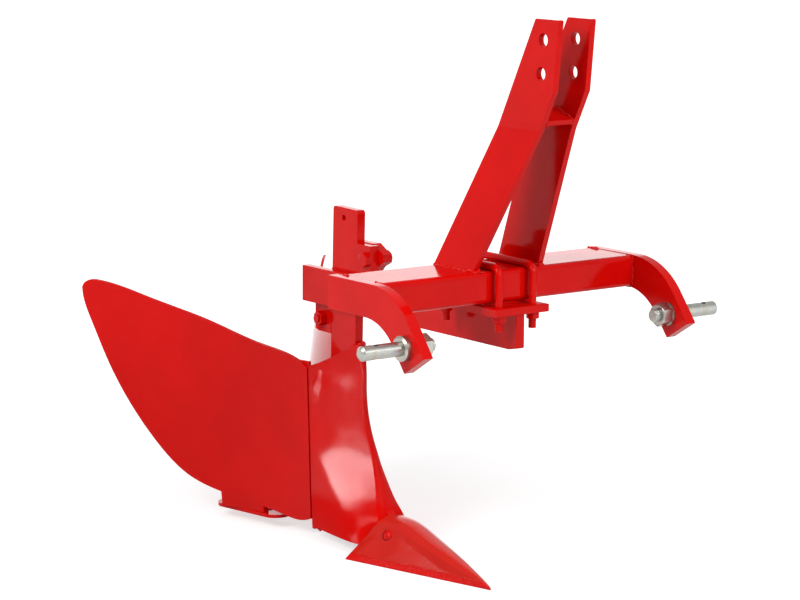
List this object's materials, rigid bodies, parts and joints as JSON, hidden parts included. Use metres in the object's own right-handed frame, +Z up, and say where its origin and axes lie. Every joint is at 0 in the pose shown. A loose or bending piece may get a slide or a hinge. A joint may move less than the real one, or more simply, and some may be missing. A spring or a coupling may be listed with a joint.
{
  "type": "ridger",
  "caption": "Single-body ridging plough for a three-point hitch: delta share, curved breast and two hinged wings on an adjustable leg.",
  "frame": {"origin": "middle of the common axis of the two lower hitch pins", "axes": "-Y towards the tractor (direction of travel), +Y rearward, +Z up, +X to the left of travel, along the lower hitch pins"},
  "size_m": [0.695, 1.0295, 0.914],
  "materials": {
    "red_paint": "gloss",
    "zinc": "satin"
  },
  "bodies": {
    "hitch_frame": {"beam": "red_paint", "left_bracket": "red_paint", "right_bracket": "red_paint", "left_hitch_pin": "zinc", "right_hitch_pin": "zinc", "left_pin_washer": "zinc", "right_pin_washer": "zinc", "left_pin_nut": "zinc", "right_pin_nut": "zinc", "left_mast_plate": "red_paint", "right_mast_plate": "red_paint", "mast_spacer": "red_paint", "left_u_bolt": "red_paint", "right_u_bolt": "red_paint", "u_bolt_nuts": "red_paint", "clamp_plate": "red_paint", "packing_plate": "red_paint", "draft_bar": "red_paint", "front_block": "red_paint", "rear_block": "red_paint", "cheek_plate": "red_paint", "front_clamp_bolt": "red_paint", "rear_clamp_bolt": "red_paint", "clamp_nuts": "red_paint"},
    "tilling_body": {"leg": "red_paint", "breast": "red_paint", "share": "red_paint", "share_bolts": "red_paint", "frog": "red_paint", "left_hinge_pin": "red_paint", "right_hinge_pin": "red_paint"},
    "left_wing_body": {"left_wing": "red_paint", "left_slot_plate": "red_paint"},
    "right_wing_body": {"right_wing": "red_paint", "right_slot_plate": "red_paint"}
  },
  "joints": [
    {"name": "leg_height", "type": "slide", "parent": "hitch_frame", "child": "tilling_body", "axis": [0, -0.0262, 0.9997], "range_m": [-0.05, 0.045]},
    {"name": "left_wing_hinge", "type": "hinge", "parent": "tilling_body", "child": "left_wing_body", "pos_m": [0.04305, 0.593, -0.27], "axis": [0.03, 0, 0.9996], "range_deg": [-8, 8]},
    {"name": "right_wing_hinge", "type": "hinge", "parent": "tilling_body", "child": "right_wing_body", "pos_m": [-0.01045, 0.593, -0.27], "axis": [-0.03, 0, 0.9996], "range_deg": [-8, 8]}
  ]
}
